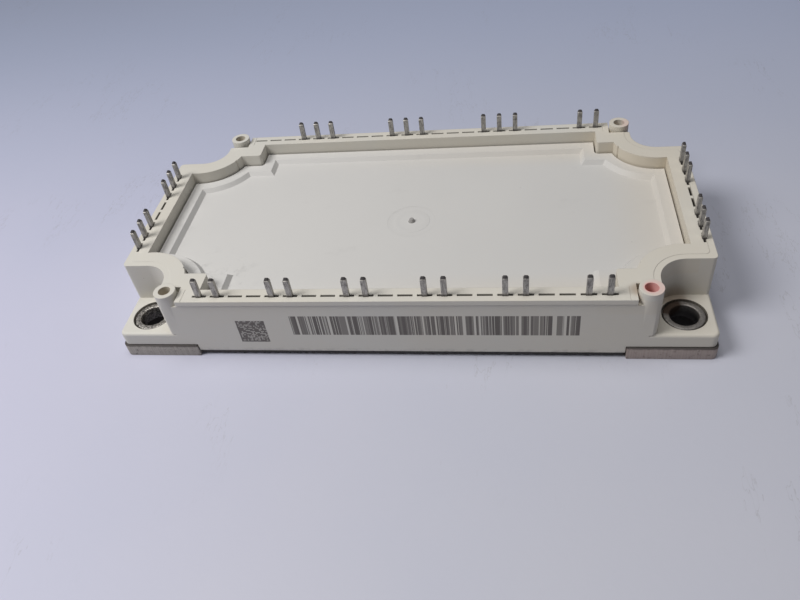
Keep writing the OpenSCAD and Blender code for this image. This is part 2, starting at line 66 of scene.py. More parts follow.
# Places on the module, in millimetres
FRONT = -30.7  # face of the long front wall
RIM = 15.8  # top of the frame's rim
RIM_STEP = 15.68  # the rim beside the notches
POCKET = 14.3  # bottom of the pockets in which the board posts stand
POST = 17  # seats of the board posts
EAR = 6.3  # top of the ears that carry the bushings
GATE_RING = 11.94  # floor of the shallow ring round the lid's gate
PLATE = 3  # top of the baseplate
LONG_ROW, END_ROW = 29.2, 59.1  # rows of pin slots, from the middle
LONG_REACH, END_REACH = 44.5, 15  # how far those rows run to each side
HOLE_X, HOLE_Y = 55, 25  # mounting holes
EAR_HOLE = 4.3  # radius of the gaps round the bushings
PLATE_BORE = 2.9  # radius that takes in the plate's bores and their eased edges
POST_X, POST_Y = 47.25, 28.75  # board posts
PAD_X, PAD_Y = 43.95, 18.45  # inner ends of the baseplate's corner pads
BEAD_X, BEAD_Y, BEAD_Z = 59.9, 29.9, 0.8  # middle of the adhesive squeezed out under the skirt
BEAD_WIDTH, BEAD_HEIGHT = 1.0, 1.3
GATE = 1.2  # moulding gate of the lid, in front of the middle
MATRIX = -33.6, -27.5, 4.15, 10.3  # printed square: left, right, bottom, top
BARS = -22, 34.9, 6.3, 11.6  # printed bars, in the same order
INK = 0.9  # how dark the print is at most

# The front of a board post that stands proud of the wall is drawn down into it
POST_DRAW = 0.85  # share of the way from pocket to ear
POST_SINK = -0.4  # the lower end's new depth, as a share of how far it stood proud

# Camera: place in millimetres, and two directions
LENS = 32.391
EYE = 23.08, -128.03, 109.75
AHEAD = -0.16025, 0.71092, -0.68477
UPWARD = 0.00488, 0.6943, 0.71967

# Studio light in metres and watts: name, place, width, power, tint
LAMPS = (
    ("key", (-0.29, -0.12, 0.4), 0.24, 1.66, (1.0, 0.99, 0.985)),
    ("overhead", (0, 0, 0.6), 0.35, 1.05, (1.0, 0.99, 0.99)),
)
SKY, SKY_STRENGTH = (0.86, 0.9, 1.0, 1), 0.11


# Shader graphs ---------------------------------------------------------------


class Value:
    """A node's output that takes part in arithmetic: each expression adds its Math nodes."""

    def __init__(self, graph, socket):
        self.graph = graph
        self.socket = socket

    def math(self, operation, *others, **settings):
        inputs = dict(enumerate((self,) + others))
        return self.graph.node("ShaderNodeMath", {"operation": operation, **settings}, inputs)

    def __add__(self, other):
        return self.math("ADD", other)

    def __radd__(self, other):
        return self.math("ADD", other)

    def __sub__(self, other):
        return self.math("SUBTRACT", other)

    def __rsub__(self, other):
        return self.graph.node("ShaderNodeMath", {"operation": "SUBTRACT"}, {0: other, 1: self})

    def __mul__(self, other):
        return self.math("MULTIPLY", other)

    def __rmul__(self, other):
        return self.math("MULTIPLY", other)

    def __truediv__(self, other):
        return self.math("DIVIDE", other)

    def __pow__(self, other):
        return self.math("POWER", other)

    def __abs__(self):
        return self.math("ABSOLUTE")

    def __lt__(self, other):
        return self.math("LESS_THAN", other)

    def floor(self):
        return self.math("FLOOR")

    def least(self, other):
        return self.math("MINIMUM", other)

    def most(self, other):
        return self.math("MAXIMUM", other)

    def rise(self, start, end):
        """0 up to start, 1 from end, and a smooth step between."""
        return self.graph.node(
            "ShaderNodeMapRange",
            {"interpolation_type": "SMOOTHSTEP"},
            {"Value": self, "From Min": start, "From Max": end, "To Min": 0.0, "To Max": 1.0},
        )

    def fall(self, start, end):
        """1 up to start, 0 from end."""
        return 1 - self.rise(start, end)

    def between(self, low, high, soft=0.02):
        """1 between low and high, with edges as soft as given."""
        return self.rise(low - soft, low + soft) * self.fall(high - soft, high + soft)


class Graph:
    """The node tree of one material."""

    def __init__(self, name):
        self.material = bpy.data.materials.new(name)
        self.material.use_nodes = True
        self.tree = self.material.node_tree
        self.tree.nodes.clear()
        position = self.node("ShaderNodeTexCoord", output="Object")
        self.position = self.node(
            "ShaderNodeVectorMath", {"operation": "SCALE"}, {"Vector": position, "Scale": 1 / MM}
        )
        self.x, self.y, self.z = (
            self.node("ShaderNodeSeparateXYZ", {}, {0: self.position}, axis) for axis in "XYZ"
        )

    def node(self, kind, settings=None, inputs=None, output=0):
        """Adds a node: its settings first, then the values or links of its sockets."""
        node = self.tree.nodes.new(kind)
        for key, value in (settings or {}).items():
            setattr(node, key, value)
        for key, value in (inputs or {}).items():
            socket = node.inputs[key]
            if isinstance(value, Value):
                self.tree.links.new(value.socket, socket)
            elif socket.type == "RGBA":
                socket.default_value = (*value[:3], 1)
            else:
                socket.default_value = value
        return Value(self, node.outputs[output])

    def noise(self, scale, detail=3.0, roughness=0.5, stretch=(1, 1, 1), shift=(0, 0, 0)):
        """Noise of about scale waves a millimetre, from 0 to 1."""
        place = self.node(
            "ShaderNodeMapping", {}, {"Vector": self.position, "Scale": stretch, "Location": shift}
        )
        return self.node(
            "ShaderNodeTexNoise",
            {"noise_dimensions": "3D"},
            {"Vector": place, "Scale": scale, "Detail": detail, "Roughness": roughness},
        )

    def bands(self, along, scale, detail=2.0, roughness=0.7):
        """Noise along one direction only, as bars, streaks and brush marks run."""
        return self.node(
            "ShaderNodeTexNoise",
            {"noise_dimensions": "1D"},
            {"W": along, "Scale": scale, "Detail": detail, "Roughness": roughness},
        )

    def cells(self, scale):
        """Distance to the nearest of scattered points, about scale of them a millimetre."""
        return self.node(
            "ShaderNodeTexVoronoi", {}, {"Vector": self.position, "Scale": scale}, "Distance"
        )

    def random(self, *numbers):
        """A random value from 0 to 1 that is the same wherever the numbers are."""
        names = "XYZ"[: len(numbers)]
        place = self.node("ShaderNodeCombineXYZ", {}, dict(zip(names, numbers)))
        return self.node(
            "ShaderNodeTexWhiteNoise", {"noise_dimensions": "3D"}, {"Vector": place}, "Value"
        )

    def mix(self, factor, first, second):
        """A colour that goes from first to second as factor goes from 0 to 1."""
        return self.node(
            "ShaderNodeMix",
            {"data_type": "RGBA", "clamp_factor": True},
            {0: factor, 6: first, 7: second},
            2,
        )

    def near(self, x, y, z, radius, soft):
        """1 within radius of a point, and 0 beyond a soft edge."""
        distance = self.node(
            "ShaderNodeVectorMath", {"operation": "DISTANCE"},
            {0: self.position, 1: (x, y, z)}, "Value",
        )
        return distance.fall(radius, radius + soft)

    def radius(self, x, y):
        """Distance from an upright line through x and y."""
        return ((self.x - x) ** 2 + (self.y - y) ** 2) ** 0.5

    def from_holes(self):
        """Distance from the nearest mounting hole's axis."""
        return ((abs(self.x) - HOLE_X) ** 2 + (abs(self.y) - HOLE_Y) ** 2) ** 0.5

    def finish(self, colour, rough, metallic=0.0, height=None, depth=0.0, edge=0.0, **more):
        """The surface: height is its relief, depth its depth, and edge how far edges are eased."""
        inputs = {"Base Color": colour, "Roughness": rough, "Metallic": metallic, **more}
        normal = None
        if edge:
            normal = self.node("ShaderNodeBevel", {"samples": 6}, {"Radius": edge * MM})
        if height is not None:
            bump = {"Height": height, "Distance": depth * MM, "Strength": 1.0}
            if normal:
                bump["Normal"] = normal
            normal = self.node("ShaderNodeBump", {}, bump)
        if normal:
            inputs["Normal"] = normal
        surface = self.node("ShaderNodeBsdfPrincipled", {}, inputs)
        output = self.tree.nodes.new("ShaderNodeOutputMaterial")
        self.tree.links.new(surface.socket, output.inputs["Surface"])
        return self.material


def printed(red, green, blue):
    """A colour chart's 0 to 255 values as the linear colour that a shader takes."""
    def linear(value):
        share = value / 255
        return share / 12.92 if share <= 0.04045 else ((share + 0.055) / 1.055) ** 2.4
    return linear(red), linear(green), linear(blue)


def toned(colour, tone):
    """A colour made darker or lighter."""
    return tuple(value * tone for value in colour)


# Sizes and colours -----------------------------------------------------------


def size(name, description, millimetres):
    """A length that a user can change."""
    return FloatProperty(
        name=name, description=description, default=millimetres * MM, min=0, precision=5,
        subtype="DISTANCE", unit="LENGTH",
    )


def colour(name, description, *values):
    """A colour that a user can change, from its 0 to 255 values."""
    return FloatVectorProperty(
        name=name, description=description, default=printed(*values), min=0, max=1,
        size=3, subtype="COLOR",
    )


class ModuleSizes(bpy.types.PropertyGroup):
    """Sizes that the dressing adds to the solids."""

    step_wear: size("Rim step wear", "How much lower the rim's fine step looks", 0.06)
    ring_wear: size("Gate ring wear", "How much shallower the ring on the lid looks", 0.04)
    edge_ease: size("Small edge", "Rounding seen on the moulded edges", 0.16)
    metal_ease: size("Metal edge", "Rounding seen on plated metal edges", 0.1)
    pin_shoulder: size("Pin shoulder", "Height over which a pin's tip narrows", 0.5)
    pin_ease: size("Pin edge", "Chamfer along a pin's edges", 0.07)
    code_cell: size("Matrix cell", "Side of one cell of the printed square", 0.32)
    bar_unit: size("Bar unit", "Usual width of a printed bar", 0.9)
    grain_depth: size("Moulded grain", "Depth of the fine grain on the plastic", 0.008)


class ModuleColours(bpy.types.PropertyGroup):
    """Colours of the finishes."""

    housing: colour("Housing", "Warm white moulded frame", 212, 209, 200)
    housing_warm: colour("Housing, cream", "Cream tone in corners and pockets", 212, 199, 176)
    lid: colour("Lid", "Pale moulded lid", 211, 209, 205)
    # Duller tone, also painted as shade towards the lid's right end
    lid_rub_and_shade: colour("Lid, rubbed", "Duller tone over the lid", 190, 189, 186)
    # Grey smudges, also used for faint painted shade on the lid's gate ring
    grime_and_shade: colour("Grime", "Grey smudges on the plastic", 140, 137, 134)
    print_ink: colour("Print", "Laser-dark print on the long wall", 78, 70, 66)
    # Painted shade, with dust, down in the pin slots and the gaps round the bushings
    slot: colour("Slots", "Dark bottoms of the pin slots", 66, 56, 46)
    stain: colour("Stain", "Pink dab in a board post", 232, 176, 170)
    rust_stain: colour("Rust stain", "Brown tinge beside a board post", 146, 116, 84)
    plate: colour("Baseplate", "Nickel plating", 190, 185, 176)
    plate_cut: colour("Baseplate, cut edge", "Sheared edge", 150, 142, 132)
    # Copper tinge, also painted on the right of the plate's sides as shade
    plate_pink: colour("Baseplate, copper tinge", "Copper showing through", 172, 152, 146)
    # Sealant smear, also used for painted shade under the gap below the ears
    plate_dark: colour("Baseplate, smeared", "Sealant smeared on the edge", 70, 64, 62)
    bushing: colour("Bushing", "Plated steel", 132, 128, 125)
    # Painted shade inside the screw holes, also dark patches on the rubbed bushing
    bore: colour("Bores", "Dark inside of the screw holes", 46, 42, 40)
    rust: colour("Rust", "Rust on a bushing", 60, 41, 25)
    pin: colour("Pin", "Tinned copper", 196, 192, 184)
    # Dull cut tip, also used for painted shade at each pin's foot
    pin_tip: colour("Pin tip", "Dull cut tip", 52, 48, 50)
    glue: colour("Adhesive", "Silicone adhesive", 50, 48, 48)
    floor: colour("Floor", "Pale surface under the module", 206, 204, 222)
    floor_near: colour("Floor, near", "The surface in front and to the right", 204, 203, 208)
    # Painted shade where the light falls off towards the back, also in faint blotches over the floor
    floor_far: colour("Floor, far", "The surface where it falls away", 180, 188, 212)


# Materials -------------------------------------------------------------------


def dress(node, material):
    """Puts a material on a CAD node without touching its mesh."""
    target = NODES[node]
    if not target.material_slots:
        target.data.materials.append(material)
    for place in target.material_slots:
        place.material = material


def nodes_named(start):
    """The CAD nodes of one kind."""
    found = [name for name in sorted(NODES) if name.startswith(start)]
    if not found:
        raise RuntimeError("the frame has no node whose name starts with " + start)
    return found


def printed_bars(g, sizes):
    """How much ink the long front wall carries: a matrix square and a field of bars."""
    cell = sizes.code_cell / MM
    on_wall = g.y.fall(FRONT + 0.05, FRONT + 0.15)

    # The square: cells that are dark at random, two solid sides, and slightly frayed edges
    fray = (g.noise(5, 2) - 0.5) * 0.16
    x = g.x + fray
    z = g.z + fray
    left, right, low, high = MATRIX
    matrix = g.random((x / cell).floor(), (z / cell).floor(), 3.0).rise(0.3, 0.4)
    matrix = 0.5 + 0.5 * matrix.most(x < left + cell).most(z < low + cell)
    matrix = matrix * x.between(left, right, 0.05) * z.between(low, high, 0.05)

    # The bars: noise along the wall, cut off hard, some groups paler than others
    left, right, low, high = BARS
    coarse = g.bands(g.x, 1 / (sizes.bar_unit / MM), 3, 0.75).rise(0.41, 0.48)
    strength = 0.8 + 0.2 * g.bands(g.x + 40, 0.5, 2, 0.6).rise(0.4, 0.55)
    bars = coarse * strength * g.x.between(left, right, 0.05) * g.z.between(low, high, 0.08)
    return matrix.most(bars) * on_wall * INK


def slot_shadow(g):
    """Dust and shade down in the pin slots and in the gaps round the bushings."""
    long_rows = abs(abs(g.y) - LONG_ROW).fall(0.4, 0.5) * abs(g.x).fall(LONG_REACH, LONG_REACH + 0.3)
    end_rows = abs(abs(g.x) - END_ROW).fall(0.4, 0.5) * abs(g.y).fall(END_REACH, END_REACH + 0.5)
    slots = long_rows.most(end_rows) * g.z.fall(RIM - 0.5, RIM - 0.05)
    gaps = g.from_holes().fall(EAR_HOLE - 0.02, EAR_HOLE + 0.04) * g.z.fall(EAR - 0.1, EAR - 0.02)
    return slots.most(gaps)


def housing_plastic(sizes, colours):
    """The frame: warm white, creamier in its corners, with dust and painted shade in its slots, stains
    and print.
    """
    g = Graph("warm white moulded plastic")

    # Tone of the moulding, creamier towards the right end and in the pockets
    cloud = g.noise(0.045, 3)
    mottle = g.noise(0.6, 5, 0.6)
    skin = g.mix(cloud.rise(0.3, 0.7) * 0.22, colours.housing, colours.housing_warm)
    skin = g.mix(mottle.rise(0.5, 0.75) * 0.08, skin, colours.housing_warm)
    corner = g.x.rise(30, 50) * (0.35 + 0.3 * g.y.rise(-10, 30))
    inner = abs(g.x).fall(57.4, 57.6) * g.z.between(12, 15.6, 0.3)
    skin = g.mix(corner * (0.4 + 0.6 * inner), skin, colours.housing_warm)

    # Patchy grey darkening low on the skirt, rust that ran from a post and a bushing, and dark specks
    low = g.z.fall(1.2, 2.8) * g.noise(0.8, 4).rise(0.4, 0.7) * 0.4
    skin = g.mix(low, skin, colours.grime_and_shade)
    beside_post = g.near(POST_X - 1.95, -POST_Y + 0.75, 15, 1.0, 1.6) * g.z.fall(15.6, 16.2) * 0.7
    weep = g.near(HOLE_X - 1.6, -HOLE_Y + 4.4, EAR, 1.2, 2.8) * (0.2 + 0.6 * mottle)
    skin = g.mix(beside_post.most(weep), skin, colours.rust_stain)
    specks = g.cells(0.35).fall(0.02, 0.05) * g.noise(0.3, 1).rise(0.6, 0.7) * 0.4
    skin = g.mix(specks, skin, colours.print_ink)

    # Pink dab in the front right post and a trace on the one behind; cream holes on the left
    hole = g.radius(POST_X, -POST_Y).fall(1.25, 1.6)
    seat = 0.4 * g.radius(POST_X + 0.4, -POST_Y).fall(1.5, 2.5) * g.z.rise(POST - 0.5, POST - 0.1)
    trace = 0.3 * g.near(POST_X + 1.6, POST_Y - 0.5, POST, 1.0, 1.4)
    dab = hole.most(seat).most(trace) * (0.5 + g.noise(1.2, 3))
    skin = g.mix(dab, skin, colours.stain)
    cream = g.radius(-POST_X, -POST_Y).least(g.radius(-POST_X, POST_Y)).fall(1.15, 1.4)
    skin = g.mix(cream * 0.7, skin, colours.housing_warm)

    # Painted shade, with dust, in the slots and the gaps round the bushings, then the print over all
    skin = g.mix(slot_shadow(g) * 0.75, skin, colours.slot)
    ink = printed_bars(g, sizes)
    skin = g.mix(ink, skin, colours.print_ink)
    rough = 0.5 + 0.14 * mottle - 0.06 * ink
    grain = g.noise(9, 3) * 0.7 + g.noise(1.1, 2) * 0.3
    return g.finish(
        skin, rough, 0.0, grain, sizes.grain_depth / MM, sizes.edge_ease / MM, IOR=1.5
    )


def lid_plastic(sizes, colours):
    """The lid: pale, rubbed and handled, with painted shade towards its right end and on its gate ring,
    and the mark of its moulding gate.
    """
    g = Graph("pale lid plastic")
    cloud = g.noise(0.03, 4, shift=(2, 0, 0))
    mottle = g.noise(0.5, 5, 0.6)
    skin = g.mix(cloud.rise(0.3, 0.7) * 0.14, colours.lid, colours.lid_rub_and_shade)
    # Painted shade: the lid darker towards its right end, away from the light
    skin = g.mix(g.x.rise(-60, 60) * 0.22, skin, colours.lid_rub_and_shade)
    border = abs(g.y).rise(18, 24).most(abs(g.x).rise(40, 53)) * g.x.rise(-40, 55)
    skin = g.mix(border * 0.3, skin, colours.housing_warm)
    rub = g.noise(0.1, 6, 0.62, stretch=(1, 1.6, 1)).rise(0.6, 0.8) * 0.14
    handled = g.near(-42, -20, 13, 4, 9) * g.noise(0.35, 5, 0.7).rise(0.52, 0.7) * 0.3
    skin = g.mix(rub.most(handled), skin, colours.grime_and_shade)
    specks = g.cells(0.3).fall(0.02, 0.04) * g.noise(0.25, 1).rise(0.58, 0.66) * 0.35
    skin = g.mix(specks, skin, colours.print_ink)
    from_gate = g.radius(0, -GATE)
    stub = from_gate.fall(0.75, 0.85)
    ring = from_gate.between(4.9, 5.5, 0.35) * 0.5 + from_gate.between(2.9, 3.6, 0.5) * 0.6
    # Faint painted shade along the steps of the gate ring
    skin = g.mix(ring * 0.12 * g.noise(0.5, 2), skin, colours.grime_and_shade)
    skin = g.mix(stub * (0.55 + 0.45 * g.noise(3, 3)), skin, colours.grime_and_shade)
    rough = 0.48 + 0.16 * mottle
    grain = g.noise(8, 3) * 0.6 + g.noise(0.5, 3) * 0.4 + ring * 3 + stub * g.noise(4, 3) * 12
    return g.finish(
        skin, rough, 0.0, grain, sizes.grain_depth / MM, sizes.edge_ease / MM, IOR=1.5
    )


def plated_base(sizes, colours):
    """The baseplate: nickel over copper, brushed on its cut sides, smeared and with painted shade under
    the ears, painted darker on the right of its sides and down its bores.
    """
    g = Graph("nickel-plated baseplate")
    side = g.z.between(0.02, PLATE - 0.02, 0.04)
    along = g.x + g.y
    brushed = g.bands(along, 2.6, 4, 0.75)
    grain = g.noise(4, 5, 0.75)
    skin = g.mix(grain.rise(0.35, 0.7) * 0.5, colours.plate, colours.plate_cut)
    skin = g.mix(side * brushed.rise(0.42, 0.6) * 0.55, skin, colours.plate_cut)
    # Copper tinge on the sides, painted darker towards the right as shade
    skin = g.mix(side * g.x.rise(0, 20) * 0.55, skin, colours.plate_pink)
    # Sealant smears, and a painted shade line along the top of the sides under the gap below the ears
    smear_and_gap_shade = g.z.rise(2.3, 2.75) * g.noise(1.2, 4).rise(0.35, 0.6) * 0.5
    smear_and_gap_shade = smear_and_gap_shade.most(g.z.rise(2.74, 2.84) * 0.95)
    ends = side * g.noise(0.9, 4, 0.7).rise(0.55, 0.7) * 0.6
    skin = g.mix(smear_and_gap_shade.most(ends), skin, colours.plate_dark)
    # Painted shade down the plate's bores
    bore = g.from_holes().fall(PLATE_BORE - 0.05, PLATE_BORE + 0.05)
    skin = g.mix(bore, skin, colours.bore)
    rough = 0.5 + 0.25 * grain
    metal = 0.55 - 0.3 * smear_and_gap_shade - 0.3 * bore
    relief = grain * 0.7 + brushed * 0.3
    return g.finish(skin, rough, metal, relief, 0.04, sizes.metal_ease / MM)


def plated_steel(sizes, colours):
    """The bushings: one rubbed bright at the front left, one rusty at the front right, all with painted
    shade down their bores.
    """
    g = Graph("plated steel bushing")
    grain = g.noise(3, 4, 0.6)
    worn = g.x.fall(-50, -48) * g.y.fall(-18, -16)
    coarse = g.noise(2.2, 5, 0.8)
    patch = g.noise(0.7, 5, 0.7, shift=(4, 2, 0))
    spot = g.near(HOLE_X - 2.6, -HOLE_Y + 2.6, 6.0, 1.5, 1.9)
    elsewhere = patch.rise(0.62, 0.72) * 0.4 * g.x.rise(0, 5)
    rust = (spot * (0.9 + 0.9 * g.noise(1.6, 5, 0.7))).most(elsewhere).least(1.0)
    skin = g.mix(grain.rise(0.3, 0.7) * 0.5, colours.bushing, colours.plate)
    skin = g.mix(worn * coarse.rise(0.5, 0.58), skin, colours.pin)
    skin = g.mix(worn * coarse.fall(0.42, 0.5) * 0.75, skin, colours.bore)
    # Painted shade down the bore, darker with depth and lighter on the rubbed one
    skin = g.mix(g.z.fall(4.0, 6.1) * (0.85 - 0.4 * worn), skin, colours.bore)
    skin = g.mix(rust * 0.95, skin, colours.rust)
    rough = 0.4 + 0.2 * grain + 0.3 * rust - 0.15 * worn
    metal = 0.75 - 0.65 * rust
    relief = grain * (1 - worn) + coarse * worn * 3
    return g.finish(skin, rough, metal, relief, 0.04, sizes.metal_ease / MM)


def tinned_pin(colours):
    """The pins: dull streaky tin, darker at the tip, with painted shade where they leave the frame."""
    g = Graph("tinned pin")
    streak = g.noise(3.2, 4, 0.65, stretch=(1, 1, 0.22))
    blotch = g.noise(1.4, 4, 0.7)
    tip = g.z.rise(20.0, 20.25)
    # Painted shade at each pin's foot, just above the rim
    foot = g.z.fall(15.9, 16.6)
    skin = g.mix(streak.rise(0.4, 0.65) * 0.8, colours.pin, colours.bushing)
    skin = g.mix(blotch.rise(0.52, 0.66) * 0.45, skin, colours.pin_tip)
    skin = g.mix((tip * 0.95).most(foot * 0.8), skin, colours.pin_tip)
    rough = 0.34 + 0.22 * streak + 0.2 * tip
    metal = 0.7 - 0.5 * tip
    return g.finish(skin, rough, metal, streak, 0.02)


def adhesive(colours):
    """Dark silicone, slightly lumpy."""
    g = Graph("silicone adhesive")
    grain = g.noise(1.4, 4)
    skin = g.mix(grain * 0.5, colours.glue, colours.print_ink)
    return g.finish(skin, 0.5 + 0.2 * grain, 0.0, grain, 0.03)


def inner_finish(name, main, other, rough, metallic, scale, depth=0.01, **more):
    """A finish of an inner piece: two tones in a fine grain."""
    g = Graph(name)
    grain = g.noise(scale, 4, 0.6)
    skin = g.mix(grain.rise(0.3, 0.7), main, other)
    return g.finish(skin, rough + 0.15 * grain, metallic, grain, depth, **more)


# Pieces ----------------------------------------------------------------------


def plain_copy(node):
    """A copy of a CAD node that keeps its true curved shading."""
    bpy.ops.object.select_all(action="DESELECT")
    piece = bpy.data.objects.new(node + "_shaped", NODES[node].data.copy())
    bpy.context.scene.collection.objects.link(piece)
    bpy.context.view_layer.objects.active = piece
    piece.select_set(True)
    return piece


def joined_copy(node):
    """A copy of a CAD node as joined faces, whose edges can be rounded."""
    piece = plain_copy(node)
    bpy.ops.object.mode_set(mode="EDIT")
    bpy.ops.mesh.select_all(action="SELECT")
    bpy.ops.mesh.remove_doubles(threshold=0.001 * MM)
    bpy.ops.mesh.dissolve_limited(angle_limit=math.radians(0.5))
    bpy.ops.object.mode_set(mode="OBJECT")
    return piece


def select_corners(piece, wanted):
    """Goes into edit mode with only those corners selected whose place, in millimetres, is wanted."""
    bpy.ops.object.mode_set(mode="EDIT")
    bpy.ops.mesh.select_all(action="DESELECT")
    bpy.ops.object.mode_set(mode="OBJECT")
    for corner in piece.data.vertices:
        corner.select = wanted(corner.co / MM)
    bpy.ops.object.mode_set(mode="EDIT")
    bpy.ops.mesh.select_mode(type="VERT")


def shorten_tips(pins, shoulder):
    """Lifts the ring of corners where each pin starts to narrow."""
    rings = sorted({round(corner.co.z / MM, 3) for corner in pins.data.vertices})
    top, neck = rings[-1], rings[-2]
    select_corners(pins, lambda place: abs(place.z - neck) < 0.01)
    bpy.ops.transform.translate(value=(0, 0, (top - neck) * MM - shoulder))
    bpy.ops.object.mode_set(mode="OBJECT")


def blend_posts(housing):
    """Runs the proud front of each board post down into the wall instead of ending it in a ledge."""
    for side in (-1, 1):
        face = -side * FRONT
        select_corners(
            housing,
            lambda place: abs(place.z - POCKET) < 0.02 and side * (place.y - face) > 0.005,
        )
        bpy.ops.transform.translate(value=(0, 0, -(POCKET - EAR) * POST_DRAW * MM))
        bpy.ops.transform.resize(value=(1, POST_SINK, 1), center_override=(0, face * MM, 0))
        bpy.ops.object.mode_set(mode="OBJECT")


def lift_level(piece, level, rise):
    """Moves all corners at one height up a little, which makes a fine step softer."""
    select_corners(piece, lambda place: abs(place.z - level) < 0.005)
    bpy.ops.transform.translate(value=(0, 0, rise))
    bpy.ops.object.mode_set(mode="OBJECT")


def ease_edges(piece, width, segments):
    """Rounds a piece's sharp edges for good."""
    bpy.ops.object.select_all(action="DESELECT")
    bpy.context.view_layer.objects.active = piece
    piece.select_set(True)
    bevel = piece.modifiers.new("eased edges", "BEVEL")
    bevel.width = width
    bevel.segments = segments
    bevel.limit_method = "ANGLE"
    bevel.angle_limit = math.radians(30)
    bpy.ops.object.modifier_apply(modifier=bevel.name)
    bpy.ops.object.shade_smooth_by_angle(angle=math.radians(35))


def bead(name, start, end):
    """A strip of squeezed-out adhesive between two points: a box drawn out, rounded and made lumpy."""
    start, end = Vector(start) * MM, Vector(end) * MM
    along = end - start
    width, height = BEAD_WIDTH * MM, BEAD_HEIGHT * MM
    bpy.ops.object.select_all(action="DESELECT")
    bpy.ops.mesh.primitive_cube_add(size=1, location=(start + end) / 2)
    piece = bpy.context.active_object
    piece.name = name
    lying = abs(along.x) > abs(along.y)
    piece.scale = (along.length, width, height) if lying else (width, along.length, height)
    bpy.ops.object.transform_apply(location=True, rotation=True, scale=True)
    bpy.ops.object.mode_set(mode="EDIT")
    bpy.ops.mesh.select_all(action="SELECT")
    bpy.ops.mesh.bevel(offset=0.3 * height, segments=3, affect="EDGES")
    bpy.ops.object.mode_set(mode="OBJECT")
    remesh = piece.modifiers.new("even faces", "REMESH")
    remesh.mode = "VOXEL"
    remesh.voxel_size = 0.16 * MM
    bpy.ops.object.modifier_apply(modifier=remesh.name)
    lumps = bpy.data.textures.new(name + " lumps", "CLOUDS")
    lumps.noise_scale = 0.8 * MM
    push = piece.modifiers.new("lumps", "DISPLACE")
    push.texture = lumps
    push.texture_coords = "LOCAL"
    push.strength = 0.28 * MM
    push.mid_level = 0.55
    bpy.ops.object.modifier_apply(modifier=push.name)
    bpy.ops.object.shade_smooth()
    return piece


def take_over(piece, node, material):
    """Puts a shaped piece in the place of its CAD node."""
    piece.data.materials.clear()
    piece.data.materials.append(material)
    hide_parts(node)
    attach(piece, "root")


def settings(context):
    """The sizes and colours as the user has set them."""
    return context.scene.module_sizes, context.scene.module_colours


class MODULE_OT_housing(bpy.types.Operator):
    """Finish the moulded housing frame"""

    bl_idname = "module.housing"
    bl_label = "Housing frame"
    bl_options = {"REGISTER", "UNDO"}

    def execute(self, context):
        sizes, colours = settings(context)
        housing = plain_copy("housing_frame")
        blend_posts(housing)
        lift_level(housing, RIM_STEP, sizes.step_wear)
        take_over(housing, "housing_frame", housing_plastic(sizes, colours))
        return {"FINISHED"}


class MODULE_OT_lid(bpy.types.Operator):
    """Finish the lid"""

    bl_idname = "module.lid"
    bl_label = "Lid"
    bl_options = {"REGISTER", "UNDO"}

    def execute(self, context):
        sizes, colours = settings(context)
        lid = plain_copy("lid")
        lift_level(lid, GATE_RING, sizes.ring_wear)
        take_over(lid, "lid", lid_plastic(sizes, colours))
        return {"FINISHED"}


class MODULE_OT_base(bpy.types.Operator):
    """Finish the baseplate and its adhesive seal"""

    bl_idname = "module.base"
    bl_label = "Baseplate and adhesive"
    bl_options = {"REGISTER", "UNDO"}

    def execute(self, context):
        sizes, colours = settings(context)
        plate = joined_copy("baseplate")
        ease_edges(plate, sizes.metal_ease, 2)
        take_over(plate, "baseplate", plated_base(sizes, colours))
        sealant = adhesive(colours)
        dress("adhesive_seal", sealant)
        for side, long_name, end_name in ((-1, "front", "left"), (1, "back", "right")):
            runs = {
                long_name: ((-PAD_X, side * BEAD_Y, BEAD_Z), (PAD_X, side * BEAD_Y, BEAD_Z)),
                end_name: ((side * BEAD_X, -PAD_Y, BEAD_Z), (side * BEAD_X, PAD_Y, BEAD_Z)),
            }
            for name, (start, end) in runs.items():
                strip = bead("adhesive_bead_" + name, start, end)
                strip.data.materials.append(sealant)
                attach(strip, "root")
        return {"FINISHED"}


class MODULE_OT_bushings(bpy.types.Operator):
    """Finish the four screw bushings"""

    bl_idname = "module.bushings"
    bl_label = "Bushings"
    bl_options = {"REGISTER", "UNDO"}

    def execute(self, context):
        sizes, colours = settings(context)
        steel = plated_steel(sizes, colours)
        for name in nodes_named("bushing_"):
            bushing = joined_copy(name)
            ease_edges(bushing, sizes.metal_ease, 2)
            take_over(bushing, name, steel)
        return {"FINISHED"}


class MODULE_OT_pins(bpy.types.Operator):
    """Finish the solder pins"""

    bl_idname = "module.pins"
    bl_label = "Pins"
    bl_options = {"REGISTER", "UNDO"}

    def execute(self, context):
        sizes, colours = settings(context)
        tin = tinned_pin(colours)
        for start in ("gate_pins", "phase_pins", "plus_pins", "minus_pins", "thermistor_pins"):
            for name in nodes_named(start):
                pins = joined_copy(name)
                shorten_tips(pins, sizes.pin_shoulder)
                ease_edges(pins, sizes.pin_ease, 1)
                take_over(pins, name, tin)
        return {"FINISHED"}


